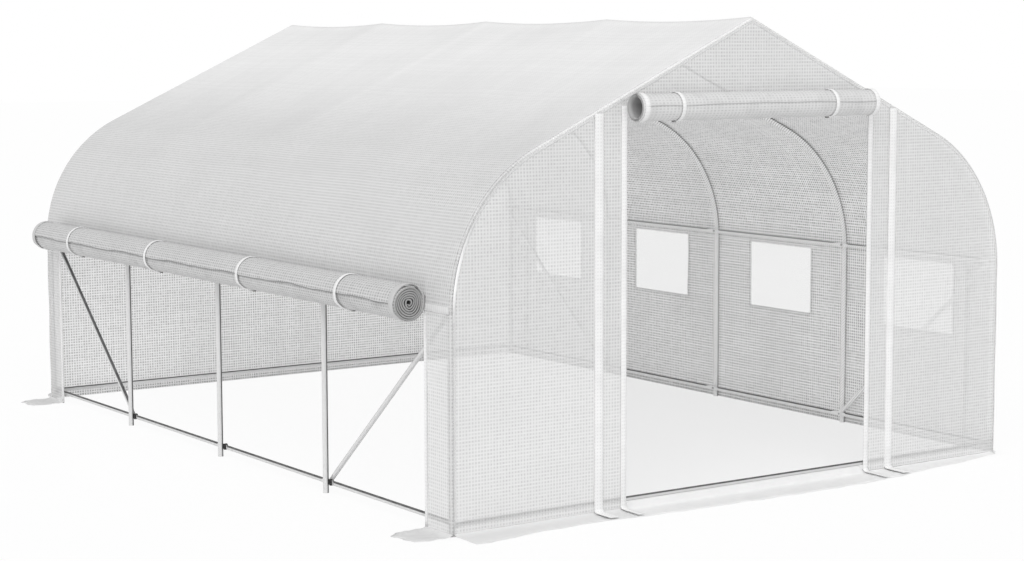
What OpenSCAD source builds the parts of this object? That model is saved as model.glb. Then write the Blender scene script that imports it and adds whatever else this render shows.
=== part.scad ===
// Walk-in polytunnel greenhouse: a bolted steel tube frame of hoops under a sheet
// cover, with the left wall and the front door rolled up and strapped.
// Millimetres, +Z up, the front faces -Y, origin on the ground at the middle of the plan.

/* [Hoops] */
// Distance between the centre lines of the left and right legs
frame_w = 3000; // [2600:10:3400]
// Distance between the centre lines of the front and back hoops
frame_l = 4000; // [3400:10:6000]
// Height of the tube centre line where the rafters meet
ridge_h = 2010; // [1930:1:2150]
// Length of the straight leg, up to where the bend starts
leg_h = 876; // [780:1:920]
// Radius of the bend between leg and rafter, at the tube's centre line
bend_r = 682; // [600:2:760]
// Number of hoops
hoop_count = 5; // [4:1:6]
// Outside diameter of the hoop tube
tube_d = 25; // [19:0.5:32]

/* [Rails] */
// Outside diameter of the rails and braces
rail_d = 20; // [16:0.5:25]
// Height of the side rails above the legs' tops
side_rail_rise = 30; // [20:1:60]
// Height of the base rails
base_rail_h = 46; // [25:1:60]
// Thickness of a crushed tube end
flat_t = 3; // [2:0.25:5]
// Width of a crushed tube end
flat_w = 22; // [20:0.5:28]
// Length of the flat from the bolt inwards
flat_l = 26; // [22:1:40]
// Cut across the corners of the flat
flat_clip = 5; // [2:0.5:8]
// Length over which the crushed end swells back to the round tube
taper_l = 34; // [20:1:60]

/* [Ridge elbows] */
// Length of each arm of the elbow that joins two rafters
elbow_l = 120; // [60:5:200]
// Thickness of the lug that carries the ridge rails
lug_t = 4; // [3:0.5:8]
// Drop from the underside of the elbow to the ridge rail's centre line
lug_drop = 24; // [20:1:50]

/* [Cover] */
// Thickness of the cover sheet
cover_t = 3; // [2:0.5:5]
// Width of the doorway in the front
door_w = 1340; // [900:10:1400]
// Drop from the ridge to the seam over the doorway
door_drop = 344; // [320:2:420]
// Width of the strip of side wall that stays up at each corner
strip_w = 190; // [120:5:225]
// Width of the skirt that lies on the ground
skirt_w = 170; // [120:5:300]
// How far the end skirts run on past the corners
skirt_ear = 0; // [0:5:80]
// Cut across the outer corners of the end skirts
skirt_clip = 40; // [20:5:110]

/* [Tapes] */
// Thickness of a sewn tape or hem
tape_t = 1.5; // [1:0.25:3]
// Width of the tape along an opening's edge
edge_tape_w = 30; // [15:1:50]
// Width of the tape down each side of the door
side_tape_w = 45; // [20:1:70]
// Distance from the doorway's edge to the middle of that tape
side_tape_x = 132; // [90:1:180]

/* [Windows] */
// Distance from a hoop to the window's edge
window_side = 265; // [260:5:330]
// Height of a window
window_h = 338; // [200:2:380]
// Drop from the legs' tops to the window's upper edge
window_drop = 9; // [5:1:120]
// Thickness of the window net
net_t = 2; // [1:0.25:2]
// Width of the hem around a window
hem_w = 22; // [15:1:30]

/* [Rolls] */
// Thickness of the rolled sheet
roll_t = 1.5; // [1:0.1:1.8]
// Diameter of the rolled up side wall
wall_roll_d = 144; // [100:2:180]
// Distance between the turns of the rolled up side wall
wall_roll_pitch = 7; // [5:0.5:12]
// Diameter of the empty middle of the rolled up side wall
wall_core_d = 16; // [12:2:40]
// How far the roll runs past the opening at each end
wall_roll_over = 10; // [0:5:80]
// Height of the rolled up side wall's centre above the legs' tops
wall_roll_up = 33; // [-40:1:40]
// Rise of the rolled up side wall from its centre to the seam that it hangs from
wall_roll_rise = 24; // [20:2:70]
// Diameter of the rolled up door
door_roll_d = 116; // [80:2:140]
// Distance between the turns of the rolled up door
door_roll_pitch = 2.6; // [2.4:0.1:5]
// Diameter of the empty middle of the rolled up door
door_core_d = 90; // [40:2:96]
// How far the door roll falls short of the doorway, over both ends
door_roll_short = 10; // [0:2:60]
// How far the door roll sits to the left of the doorway's middle
door_roll_shift = 33; // [0:1:60]
// Drop from the seam over the doorway to the rolled up door's centre
door_roll_drop = 6; // [0:1:40]
// Rise of the rolled up door from its centre to the seam that it hangs from
door_roll_rise = 26; // [10:1:40]
// Width of a strap
strap_w = 15; // [12:1:40]
// Thickness of a strap
strap_t = 2; // [1:0.25:4]
// Distance from the left opening's edge to the nearest strap
wall_strap_in = 455; // [200:5:600]
// Distance from the end of the rolled up door to its strap
door_strap_in = 249; // [150:1:400]

/* [Fit] */
// Clearance between pieces that seat on each other
fit_gap = 0.3; // [0.1:0.05:0.5]

/* [Hidden] */

frame_colour = "gainsboro";
cover_colour = "white";
roll_colour = "lightgray";
tape_colour = "snow";
round_fn = 64;
arc_steps = 24;
past = fit_gap;

half_w = frame_w / 2;
half_l = frame_l / 2;
bay_count = hoop_count - 1;
bay_l = frame_l / bay_count;

// The rafter runs from the ridge as a tangent to the bend, which fixes its slope.
bend_x = half_w - bend_r;
ridge_rise = ridge_h - leg_h;
roof_pitch = atan2(ridge_rise, bend_x) - asin(bend_r / norm([bend_x, ridge_rise]));
bend_angle = 90 - roof_pitch;
bend_top_x = bend_x + bend_r * sin(roof_pitch);
bend_top_z = leg_h + bend_r * cos(roof_pitch);
rafter_l = bend_top_x / cos(roof_pitch) - elbow_l;

// Crushed ends stack in layers on the inner face of a hoop tube. The side rails meet
// the tube where it has begun to lean in, so their layers move in with it.
shank_l = flat_l + taper_l;
flat_end = tube_d / 2 - fit_gap;
side_rail_h = leg_h + side_rail_rise;
flat_top = side_rail_rise + flat_w / 2;
lean_in = bend_r - sqrt(bend_r * bend_r - flat_top * flat_top);
side_rail_x = (layer(0) + layer(1)) / 2 + lean_in;
base_rail_x = (layer(0) + layer(1)) / 2;
brace_x = (layer(2) + layer(1) + lean_in) / 2;
brace_rise = side_rail_h - base_rail_h;

// The ridge rails hang from the elbows' lugs, one on each face.
elbow_under = ridge_h - tube_d / 2 / cos(roof_pitch);
ridge_rail_z = elbow_under - lug_drop;
lug_layer = lug_t / 2 + fit_gap + flat_t / 2;

// The end rails are bolted to the outer face of the end legs.
end_rail_set = rail_d / 2 - flat_t;
end_rail_y = half_l + layer(0) - end_rail_set;

// Offsets of the cover's faces from the hoops' centre lines, at the sides and at the ends.
side_in = tube_d / 2 + fit_gap;
side_out = side_in + cover_t;
end_in = end_rail_y - half_l + rail_d / 2 + fit_gap;
end_out = end_in + cover_t;
sheet_l = frame_l + 2 * end_out;
opening_l = sheet_l - 2 * strip_w;
door_h = ridge_h - door_drop;
window_w = bay_l - 2 * window_side;
window_z = leg_h - window_drop - window_h;
tape_z = cover_t + fit_gap;
wall_face = half_w + side_out + fit_gap;
end_face = half_l + end_out + fit_gap;

// A roll stands off its wall by the thicker of the strap and the tape behind it. The
// side wall's roll lies against the curve of the shoulder.
roll_gap = max(strap_t, tape_t) + fit_gap;
wall_roll_set = bend_r + side_out + fit_gap + roll_gap + wall_roll_d / 2;
wall_roll_x = bend_x + sqrt(pow(wall_roll_set, 2) - pow(max(wall_roll_up, 0), 2));
door_roll_y = end_face + roll_gap + door_roll_d / 2;
wall_roll_h = leg_h + wall_roll_up;
door_roll_h = door_h - door_roll_drop;
wall_roll_l = opening_l + 2 * wall_roll_over;
door_roll_l = door_w - door_roll_short;
door_strap_x = door_roll_l / 2 - door_strap_in;
wall_strap_l = (opening_l - 2 * wall_strap_in) / (bay_count - 1);

function hoop_y(i) = -half_l + i * bay_l;
function bay_y(i) = -half_l + (i + 0.5) * bay_l;
function layer(n) = tube_d / 2 + fit_gap + flat_t / 2 + n * (flat_t + fit_gap);
function roof_z(x, out) = ridge_h + out / cos(roof_pitch) - abs(x) * tan(roof_pitch);

// Points of the bend's arc, set out by a distance from the tube's centre line
function bend_points(out) = [
  for (i = [0 : arc_steps])
    let (a = bend_angle * i / arc_steps)
      [bend_x + (bend_r + out) * cos(a), leg_h + (bend_r + out) * sin(a)]
];

// The section through the tunnel, from the ground on the right to the ground on the left
function right_side(out) = concat([[half_w + out, 0]], bend_points(out));
function section(out) = concat(
  right_side(out), [[0, roof_z(0, out)]], reversed([for (p = right_side(out)) flipped(p)])
);
function flipped(p) = [-p[0], p[1]];
function reversed(v) = [for (i = [len(v) - 1 : -1 : 0]) v[i]];

module on_right() mirror([1, 0, 0]) children();

module at_hoops() for (i = [0 : hoop_count - 1]) translate([0, hoop_y(i), 0]) children();

module at_bays() for (i = [0 : bay_count - 1]) translate([0, bay_y(i), 0]) children();

// Turns an outline in X and Z into a plate from y to y + t.
module upright(y, t) translate([0, y + t, 0]) rotate([90, 0, 0]) linear_extrude(t) children();

// Hoop tubes of the left side

module leg_row() at_hoops()
  translate([-half_w, 0, 0]) cylinder(d = tube_d, h = leg_h, $fn = round_fn);

module bend_row() at_hoops()
  translate([-bend_x, 0, leg_h]) rotate([90, 0, 180])
    rotate_extrude(angle = bend_angle, $fn = round_fn)
      translate([bend_r, 0]) circle(d = tube_d, $fn = round_fn);

module rafter_row() at_hoops()
  translate([-bend_top_x, 0, bend_top_z]) rotate([0, bend_angle, 0])
    cylinder(d = tube_d, h = rafter_l, $fn = round_fn);

module left_legs() color(frame_colour) leg_row();
module right_legs() color(frame_colour) on_right() leg_row();
module left_bends() color(frame_colour) bend_row();
module right_bends() color(frame_colour) on_right() bend_row();
module left_rafters() color(frame_colour) rafter_row();
module right_rafters() color(frame_colour) on_right() rafter_row();

// One arm of a ridge elbow, mitred on the middle plane
module elbow_arm() intersection() {
  translate([0, 0, ridge_h]) rotate([0, 90 + roof_pitch, 0]) translate([0, 0, -tube_d])
    cylinder(d = tube_d, h = elbow_l + tube_d, $fn = round_fn);
  translate([0, -tube_d, ridge_h - elbow_l]) cube([2 * elbow_l, 2 * tube_d, 2 * elbow_l]);
}

module ridge_lug() translate([-lug_t / 2, -flat_w / 2, ridge_rail_z - flat_w / 2])
  cube([lug_t, flat_w, lug_drop + flat_w / 2 + tube_d / 2]);

module ridge_elbows() color(frame_colour) at_hoops() {
  elbow_arm();
  on_right() elbow_arm();
  ridge_lug();
}

// The end of a rail: a flat about the bolt hole's place, set over by off, which swells
// back to the round tube
module crushed_end(off) {
  translate([off - flat_t / 2, 0, 0]) rotate([90, 0, 90]) linear_extrude(flat_t) polygon([
    [flat_l, -flat_w / 2], [flat_l, flat_w / 2],
    [flat_clip - flat_end, flat_w / 2], [-flat_end, flat_w / 2 - flat_clip],
    [-flat_end, flat_clip - flat_w / 2], [flat_clip - flat_end, -flat_w / 2]
  ]);
  intersection() {
    translate([0, flat_l, 0]) rotate([-90, 0, 0]) cylinder(d = rail_d, h = taper_l, $fn = round_fn);
    translate([0, 0, -rail_d]) linear_extrude(2 * rail_d) polygon([
      [off - flat_t / 2, flat_l], [off + flat_t / 2, flat_l],
      [rail_d / 2 + past, shank_l], [-rail_d / 2 - past, shank_l]
    ]);
  }
}

// A rail along +Y from bolt to bolt
module crushed_rail(span, off_a, off_b) {
  crushed_end(off_a);
  translate([0, shank_l, 0]) rotate([-90, 0, 0])
    cylinder(d = rail_d, h = span - 2 * shank_l, $fn = round_fn);
  translate([0, span, 0]) mirror([0, 1, 0]) crushed_end(off_b);
}

// Each rail's front end lies on the tube and its back end on the next rail's front end.
// The last rail has the tube to itself at both ends.
module rail_row(x, z) for (i = [0 : bay_count - 1])
  translate([x - half_w, hoop_y(i), z])
    crushed_rail(bay_l, layer(0) - base_rail_x, layer(i == bay_count - 1 ? 0 : 1) - base_rail_x);

// A brace climbs from the foot of the second hoop to the shoulder of the end hoop.
module brace() translate([brace_x - half_w, hoop_y(1), base_rail_h]) mirror([0, 1, 0])
  rotate([atan2(brace_rise, bay_l), 0, 0])
    crushed_rail(norm([bay_l, brace_rise]), layer(2) - brace_x, layer(1) + lean_in - brace_x);

module brace_pair() {
  brace();
  mirror([0, 1, 0]) brace();
}

module end_rail() translate([-half_w, -end_rail_y, base_rail_h]) rotate([0, 0, -90])
  crushed_rail(frame_w, end_rail_set, end_rail_set);

module ridge_rails() color(frame_colour) for (i = [0 : bay_count - 1])
  translate([0, hoop_y(i), ridge_rail_z]) crushed_rail(bay_l, lug_layer, -lug_layer);

module left_side_rails() color(frame_colour) rail_row(side_rail_x, side_rail_h);
module right_side_rails() color(frame_colour) on_right() rail_row(side_rail_x, side_rail_h);
module left_base_rails() color(frame_colour) rail_row(base_rail_x, base_rail_h);
module right_base_rails() color(frame_colour) on_right() rail_row(base_rail_x, base_rail_h);
module left_braces() color(frame_colour) brace_pair();
module right_braces() color(frame_colour) on_right() brace_pair();
module front_base_rail() color(frame_colour) end_rail();
module back_base_rail() color(frame_colour) mirror([0, 1, 0]) end_rail();

// Cover over the hoops

module roof_sheet() upright(-sheet_l / 2, sheet_l) polygon([
  [0, roof_z(0, side_in)], [0, roof_z(0, side_out)],
  flipped(bend_points(side_out)[arc_steps]), flipped(bend_points(side_in)[arc_steps])
]);

module shoulder_sheet() translate([-bend_x, 0, leg_h]) rotate([90, 0, 180])
  rotate_extrude(angle = bend_angle, $fn = round_fn)
    translate([bend_r + side_in, -sheet_l / 2]) square([cover_t, sheet_l]);

module left_roof_sheet() color(cover_colour) roof_sheet();
module right_roof_sheet() color(cover_colour) on_right() roof_sheet();
module left_shoulder_sheet() color(cover_colour) shoulder_sheet();
module right_shoulder_sheet() color(cover_colour) on_right() shoulder_sheet();

// End walls: the section fits inside the roof sheets.

module end_outline() polygon(section(side_in - fit_gap));

module right_front_outline() intersection() {
  end_outline();
  translate([door_w / 2, 0]) square([half_w, door_h]);
}

module front_right_panel() color(cover_colour)
  upright(-half_l - end_out, cover_t) right_front_outline();

module front_left_panel() color(cover_colour)
  on_right() upright(-half_l - end_out, cover_t) right_front_outline();

module front_gable() color(cover_colour) upright(-half_l - end_out, cover_t) intersection() {
  end_outline();
  translate([-half_w, door_h]) square([frame_w, ridge_h]);
}

module back_panel() color(cover_colour) upright(half_l + end_in, cover_t) end_outline();

// Side walls

module front_strip() translate([-half_w - side_out, -sheet_l / 2, 0]) cube([cover_t, strip_w, leg_h]);

module left_front_strip() color(cover_colour) front_strip();
module left_back_strip() color(cover_colour) mirror([0, 1, 0]) front_strip();
module right_front_strip() color(cover_colour) on_right() front_strip();
module right_back_strip() color(cover_colour) mirror([0, 1, 0]) on_right() front_strip();

module right_wall() color(cover_colour) difference() {
  translate([half_w + side_in, -opening_l / 2 + fit_gap, 0])
    cube([cover_t, opening_l - 2 * fit_gap, leg_h]);
  at_bays() translate([half_w, -window_w / 2, window_z]) cube([side_out + past, window_w, window_h]);
}

module window_nets() color(cover_colour) at_bays()
  translate([half_w + side_in, fit_gap - window_w / 2, window_z + fit_gap])
    cube([net_t, window_w - 2 * fit_gap, window_h - 2 * fit_gap]);

module window_hems() color(tape_colour) at_bays() difference() {
  translate([wall_face, -window_w / 2 - hem_w, window_z - hem_w])
    cube([tape_t, window_w + 2 * hem_w, window_h + 2 * hem_w]);
  translate([half_w, -window_w / 2, window_z]) cube([wall_face, window_w, window_h]);
}

// Tapes

module edge_tape(x) translate([x, -end_face - tape_t, tape_z])
  cube([edge_tape_w, tape_t, door_h - tape_z]);

module side_tape(x) translate([x - side_tape_w / 2, -end_face - tape_t, tape_z])
  cube([side_tape_w, tape_t, roof_z(x + side_tape_w / 2, 0) - tape_z]);

module door_tapes() color(tape_colour) for (side = [0, 1]) mirror([side, 0, 0]) {
  edge_tape(door_w / 2);
  side_tape(door_w / 2 + side_tape_x);
}

module left_opening_tapes() color(tape_colour) for (side = [0, 1]) mirror([0, side, 0])
  translate([-wall_face - tape_t, -opening_l / 2 - edge_tape_w, tape_z])
    cube([tape_t, edge_tape_w, leg_h - tape_z]);

module right_wall_tapes() color(tape_colour) for (side = [0, 1]) mirror([0, side, 0])
  translate([wall_face, -opening_l / 2 - edge_tape_w / 2, tape_z])
    cube([tape_t, edge_tape_w, leg_h - tape_z]);

// Rolled sheets: a spiral about Y that starts at its seam on the +X side and winds down.

function spiral_r(d, pitch, a) = d / 2 - pitch * a / 360;

function spiral(d, core_d, pitch, in) = [
  for (i = [0 : floor(arc_steps * (d - core_d) / 2 / pitch)])
    let (a = 360 * i / arc_steps, r = spiral_r(d, pitch, a) - in)
      [r * cos(a), -r * sin(a)]
];

module rolled_sheet(d, core_d, pitch, rise, l) upright(-l / 2, l) polygon(concat(
  [[d / 2, rise]], spiral(d, core_d, pitch, 0),
  reversed(spiral(d, core_d, pitch, roll_t)), [[d / 2 - roll_t, rise]]
));

// A strap about Y that runs right round a roll
module strap(d) rotate([90, 0, 0]) difference() {
  cylinder(d = d + 2 * (fit_gap + strap_t), h = strap_w, center = true, $fn = round_fn);
  cylinder(d = d + 2 * fit_gap, h = strap_w + 2 * past, center = true, $fn = round_fn);
}

// The slit in the hanging part of a rolled sheet that lets a strap through
module strap_slit(d, rise) translate([d / 2 - roll_t - past, -strap_w / 2 - past, 0])
  cube([roll_t + 2 * past, strap_w + 2 * past, rise + past]);

module place_wall_roll() translate([-wall_roll_x, 0, wall_roll_h]) children();

module place_door_roll() translate([-door_roll_shift, -door_roll_y, door_roll_h])
  rotate([0, 0, 90]) children();

module at_wall_straps() for (i = [0 : bay_count - 1])
  translate([0, wall_strap_in - opening_l / 2 + i * wall_strap_l, 0]) children();

module at_door_straps() for (side = [-1, 1]) translate([0, side * door_strap_x, 0]) children();

module left_wall_roll() color(roll_colour) place_wall_roll() difference() {
  rolled_sheet(wall_roll_d, wall_core_d, wall_roll_pitch, wall_roll_rise, wall_roll_l);
  at_wall_straps() strap_slit(wall_roll_d, wall_roll_rise);
}

module left_roll_straps() color(tape_colour) place_wall_roll() at_wall_straps() strap(wall_roll_d);

module door_roll() color(roll_colour) place_door_roll() difference() {
  rolled_sheet(door_roll_d, door_core_d, door_roll_pitch, door_roll_rise, door_roll_l);
  at_door_straps() strap_slit(door_roll_d, door_roll_rise);
}

module door_roll_straps() color(tape_colour) place_door_roll() at_door_straps() strap(door_roll_d);

// Skirts on the ground

module end_skirt() linear_extrude(cover_t) polygon([
  [-wall_face - skirt_ear, -end_face], [wall_face + skirt_ear, -end_face],
  [wall_face + skirt_ear, skirt_clip - end_face - skirt_w],
  [wall_face + skirt_ear - skirt_clip, -end_face - skirt_w],
  [skirt_clip - wall_face - skirt_ear, -end_face - skirt_w],
  [-wall_face - skirt_ear, skirt_clip - end_face - skirt_w]
]);

module front_skirt() color(cover_colour) end_skirt();
module back_skirt() color(cover_colour) mirror([0, 1, 0]) end_skirt();

module right_skirt() color(cover_colour)
  translate([wall_face, -sheet_l / 2, 0]) cube([skirt_w, sheet_l, cover_t]);

module left_skirt_tabs() color(cover_colour) for (side = [0, 1]) mirror([0, side, 0])
  translate([-wall_face - skirt_w, -sheet_l / 2, 0]) cube([skirt_w, strip_w, cover_t]);

left_legs();
right_legs();
left_bends();
right_bends();
left_rafters();
right_rafters();
ridge_elbows();
ridge_rails();
left_side_rails();
right_side_rails();
left_base_rails();
right_base_rails();
front_base_rail();
back_base_rail();
left_braces();
right_braces();
left_roof_sheet();
right_roof_sheet();
left_shoulder_sheet();
right_shoulder_sheet();
front_left_panel();
front_right_panel();
front_gable();
back_panel();
left_front_strip();
left_back_strip();
right_front_strip();
right_back_strip();
right_wall();
window_nets();
window_hems();
door_tapes();
left_opening_tapes();
right_wall_tapes();
left_wall_roll();
left_roll_straps();
door_roll();
door_roll_straps();
front_skirt();
back_skirt();
right_skirt();
left_skirt_tabs();
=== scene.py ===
import math

import bpy
import numpy as np
from mathutils import Matrix


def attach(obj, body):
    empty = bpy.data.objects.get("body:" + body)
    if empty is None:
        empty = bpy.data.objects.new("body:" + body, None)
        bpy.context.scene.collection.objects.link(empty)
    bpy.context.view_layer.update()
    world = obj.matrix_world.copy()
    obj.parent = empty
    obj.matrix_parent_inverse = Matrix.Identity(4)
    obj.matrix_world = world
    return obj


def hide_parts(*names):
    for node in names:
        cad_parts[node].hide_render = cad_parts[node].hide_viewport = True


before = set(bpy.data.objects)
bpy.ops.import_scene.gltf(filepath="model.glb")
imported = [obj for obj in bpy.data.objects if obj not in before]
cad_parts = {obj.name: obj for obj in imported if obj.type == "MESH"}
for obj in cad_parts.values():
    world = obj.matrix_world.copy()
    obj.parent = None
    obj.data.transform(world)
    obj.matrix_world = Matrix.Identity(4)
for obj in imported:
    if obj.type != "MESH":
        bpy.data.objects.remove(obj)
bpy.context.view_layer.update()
print("frame loaded with", len(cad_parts), "solids")

# sizes in metres that several pieces share, the same as the frame's own
tunnel = {
    "halfWidth": 1.5, "halfLength": 2.0, "ridge": 2.010, "leg": 0.876, "bendRadius": 0.682,
    "sideOut": 0.0143, "endOut": 0.0191, "doorHalf": 0.67, "doorTop": 1.666,
    "openingHalf": 1.8306, "bay": 1.0, "sheetThick": 0.001, "edgeRound": 0.010,
    "baseRail": 0.046, "sideRail": 0.906,
}
bendRadius, sideOut, doorHalf, doorTop, openingHalf, sheetThick, edgeRound, leg = (tunnel[k] for k in (
    "bendRadius", "sideOut", "doorHalf", "doorTop", "openingHalf", "sheetThick", "edgeRound", "leg"))
bendX = tunnel["halfWidth"] - bendRadius
ridgeRise = tunnel["ridge"] - leg
roofPitch = math.atan2(ridgeRise, bendX) - math.asin(
    bendRadius / math.hypot(bendX, ridgeRise))
wallX = tunnel["halfWidth"] + sideOut      # middle of the side sheets
endY = tunnel["halfLength"] + tunnel["endOut"]       # middle of the end sheets


def operator(operation):
    return lambda wire, *others: wire.maths(operation, wire, *others)


class Wire:
    # a socket that takes part in sums; each operator adds one Math node
    def __init__(self, graph, socket):
        self.graph, self.socket = graph, socket

    def maths(self, operation, *values):
        return self.graph.node("Math", {"operation": operation}, dict(enumerate(values)))

    def __rsub__(self, other):
        return self.maths("SUBTRACT", other, self)

    __add__ = __radd__ = operator("ADD")
    __mul__ = __rmul__ = operator("MULTIPLY")
    __sub__, __truediv__ = operator("SUBTRACT"), operator("DIVIDE")
    fraction, floor, size, larger = map(operator, ("FRACT", "FLOOR", "ABSOLUTE", "MAXIMUM"))

    def steps(self, pitch):
        # 0 in the middle of each step of this pitch, 0.5 at its ends
        return ((self / pitch).fraction() - 0.5).size()

    def ease(self, low, high):
        # 0 below low, 1 above high, smooth between
        return self.graph.node("MapRange", {"interpolation_type": "SMOOTHSTEP"},
                               {0: self, 1: low, 2: high, 3: 0.0, 4: 1.0})


class Graph:
    def __init__(self, tree):
        self.tree = tree
        tree.nodes.clear()

    def node(self, kind, settings=None, sockets=None, out=0):
        made = self.tree.nodes.new("ShaderNode" + kind)
        for key, value in (settings or {}).items():
            setattr(made, key, value)
        for key, value in (sockets or {}).items():
            if isinstance(value, Wire):
                self.tree.links.new(value.socket, made.inputs[key])
            else:
                made.inputs[key].default_value = value
        if isinstance(out, tuple):
            return [Wire(self, made.outputs[k]) for k in out]
        return Wire(self, made.outputs[out]) if len(made.outputs) else None

    def pair(self, u, v):
        return self.node("CombineXYZ", {}, {0: u, 1: v})

    def mix(self, share, a, b):
        return self.node("Mix", {"data_type": "RGBA"}, {0: share, 6: a, 7: b}, 2)


def grey(value):
    # a display grey from 0 to 255 as the linear colour that shows it
    linear = ((value / 255 + 0.055) / 1.055) ** 2.4
    return (linear, linear, linear, 1.0)


def finishMaterial(name, build):
    material = bpy.data.materials.new(name)
    material.use_nodes = True
    graph = Graph(material.node_tree)
    graph.node("OutputMaterial", {}, {"Surface": build(graph)})
    return material


def uvWires(graph):
    place = graph.node("UVMap", {"uv_map": "cloth"})
    return graph.node("SeparateXYZ", {}, {0: place}, (0, 1))


def objectWire(graph):
    return graph.node("TexCoord", out=3)


def axes(graph, place):
    return graph.node("SeparateXYZ", {}, {0: place}, (0, 1, 2))


def noise(graph, scale, detail, roughness=0.5, distortion=0.0):
    return graph.node("TexNoise", {}, {
        "Vector": objectWire(graph), "Scale": scale, "Detail": detail, "Roughness": roughness,
        "Distortion": distortion})


def surface(graph, base, roughness, bump=None, sockets=None):
    # bump holds its strength, its depth in metres and its height
    sockets = {"Base Color": base, "Roughness": roughness, **(sockets or {})}
    if bump:
        sockets["Normal"] = graph.node("Bump", {}, dict(zip(("Strength", "Distance", "Height"), bump)))
    return graph.node("BsdfPrincipled", {}, sockets)


# threads cross every 14.5 mm and leave small clear cells between them
weave = {"pitch": 0.0145, "thread": 0.46, "soft": 0.19, "rolled": (0.0190, 0.0120), "patch": 28.0,
         "patchDetail": 3.0, "patchRange": (0.35, 0.65), "faint": 0.24, "paler": 0.34}
flatPitches = (weave["pitch"], weave["pitch"])


def threadMask(graph, u, v, pitches=flatPitches):
    # 1 on a thread, 0 in the middle of a cell; in patches one direction is fainter, and some cells are paler.
    # Also returned: where threads cross, and a number from 0 to 1 that differs from thread to thread.
    half = 0.5 - weave["thread"] / 2
    masks, tones, cells = [], [], []
    for place, pitch in zip((u, v), pitches):
        count = place / pitch
        masks.append((count.fraction() - 0.5).size().ease(half - weave["soft"], half + weave["soft"]))
        index = (count + 0.5).floor()
        tones.append(graph.node("TexWhiteNoise", {"noise_dimensions": "1D"}, {"W": index}))
        cells.append(count.floor())
    cell = graph.node("TexWhiteNoise", {"noise_dimensions": "2D"}, {"Vector": graph.pair(*cells)})
    patch = graph.node("TexNoise", {"noise_dimensions": "2D"}, {
        "Vector": graph.pair(u, v), "Scale": weave["patch"], "Detail": weave["patchDetail"]})
    patch = patch.ease(*weave["patchRange"]) * weave["faint"]
    mask = (masks[0] * (1 - patch)).larger(masks[1] * (patch + (1 - weave["faint"])))
    mask = mask + (1 - mask) * cell * weave["paler"]
    return mask, masks[0] * masks[1], masks[0] * tones[0] + masks[1] * tones[1]


# shares of the blends in the gridded film, the reach of the painted light on its upper slope, and its thin end edges
filmSet = {"spread": 0.16, "crossing": 0.4, "stain": 0.08, "stainRange": (0.35, 0.75), "upper": (0.35, 1.55),
           "rim": (2.004, 2.016), "rimAlpha": 0.3, "bump": (0.15, 0.0012)}


def gridFilm(cell, thread, alpha=1.0, glow=0.0, top=None, rolled=False, thinRim=False):
    # cell and thread are display greys, and top holds the lighter greys of the upper slope, painted light; glow is
    # painted daylight, an emission that stands for the light that comes through to the inner face, and thinRim lets
    # it through the end edges
    def build(graph):
        u, v = uvWires(graph)
        mask, crossing, tone = threadMask(graph, u, v, weave["rolled"] if rolled else flatPitches)
        cloud = noise(graph, 3.1, 3.0, 0.55)
        hollow, strand = grey(cell), grey(thread)
        if top:
            # painted light: the slope near the ridge takes the lighter top greys
            litTopShare = v.size().ease(*filmSet["upper"])
            hollow, strand = (graph.mix(litTopShare, grey(a), b) for a, b in zip(top, (hollow, strand)))
        base = graph.mix(mask, hollow, strand)
        base = graph.mix(tone * filmSet["spread"], base, grey(cell))
        base = graph.mix(crossing * filmSet["crossing"], base, grey(min(255, thread + 6)))
        base = graph.mix(cloud.ease(*filmSet["stainRange"]) * filmSet["stain"], base, grey(cell - 6))
        sockets = {"Specular IOR Level": 0.3}
        if alpha < 1:
            sockets["Alpha"] = mask * 0.05 + (alpha - 0.03)
        if thinRim:
            rim = u.size().ease(*filmSet["rim"]) * (alpha - filmSet["rimAlpha"])
            sockets["Alpha"] = sockets["Alpha"] - rim
        # painted light: the film glows in its own colours
        if glow:
            sockets["Emission Color"], sockets["Emission Strength"] = base, glow
        return surface(graph, base, 0.62 - mask * 0.1 + cloud * 0.08,
                       (*filmSet["bump"], mask * 0.7 + crossing * 0.3), sockets)
    return build


def plainFilm(tone, alpha, fold=0.25, leftTone=None):
    # fold says how much the film is creased, in its bumps and in the painted shade and highlight that follow them;
    # leftTone is the grey of the part left of the door
    def build(graph):
        crease, fine = noise(graph, 9.0, 5.0, 0.6, 0.6), noise(graph, 140.0, 2.0)
        # painted shade and highlight: the film is darker in the hollows of its creases and lighter on their ridges
        base = graph.mix(crease.ease(0.3, 0.75), grey(tone - 1 - 24 * fold), grey(tone + 20 * fold))
        if leftTone:
            left = 0 - axes(graph, objectWire(graph))[0]
            base = graph.mix(left.ease(0.60, 0.72), base, grey(leftTone))
        return surface(graph, base, crease * 0.2 + 0.42, (fold, 0.004, crease + fine * 0.06),
                       {"Alpha": alpha, "Specular IOR Level": 0.35})
    return build


def rolledFilm(cell, thread, inner, outerTurn):
    # the weave shows on the outer turn, and the turns inside it lie in the dark; v is the length rolled up
    def build(graph):
        u, v = uvWires(graph)
        mask = threadMask(graph, u, v, weave["rolled"])[0]
        crease = noise(graph, 11.0, 5.0, 0.6, 0.5)
        base = graph.mix(mask, grey(cell), grey(thread))
        base = graph.mix(crease.ease(0.45, 0.75) * 0.3, base, grey(cell - 14))
        base = graph.mix(v.ease(outerTurn - 0.06, outerTurn + 0.06), base, grey(inner))
        return surface(graph, base, crease * 0.2 + 0.45, (0.3, 0.004, crease + mask * 0.08),
                       {"Specular IOR Level": 0.3})
    return build


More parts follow.
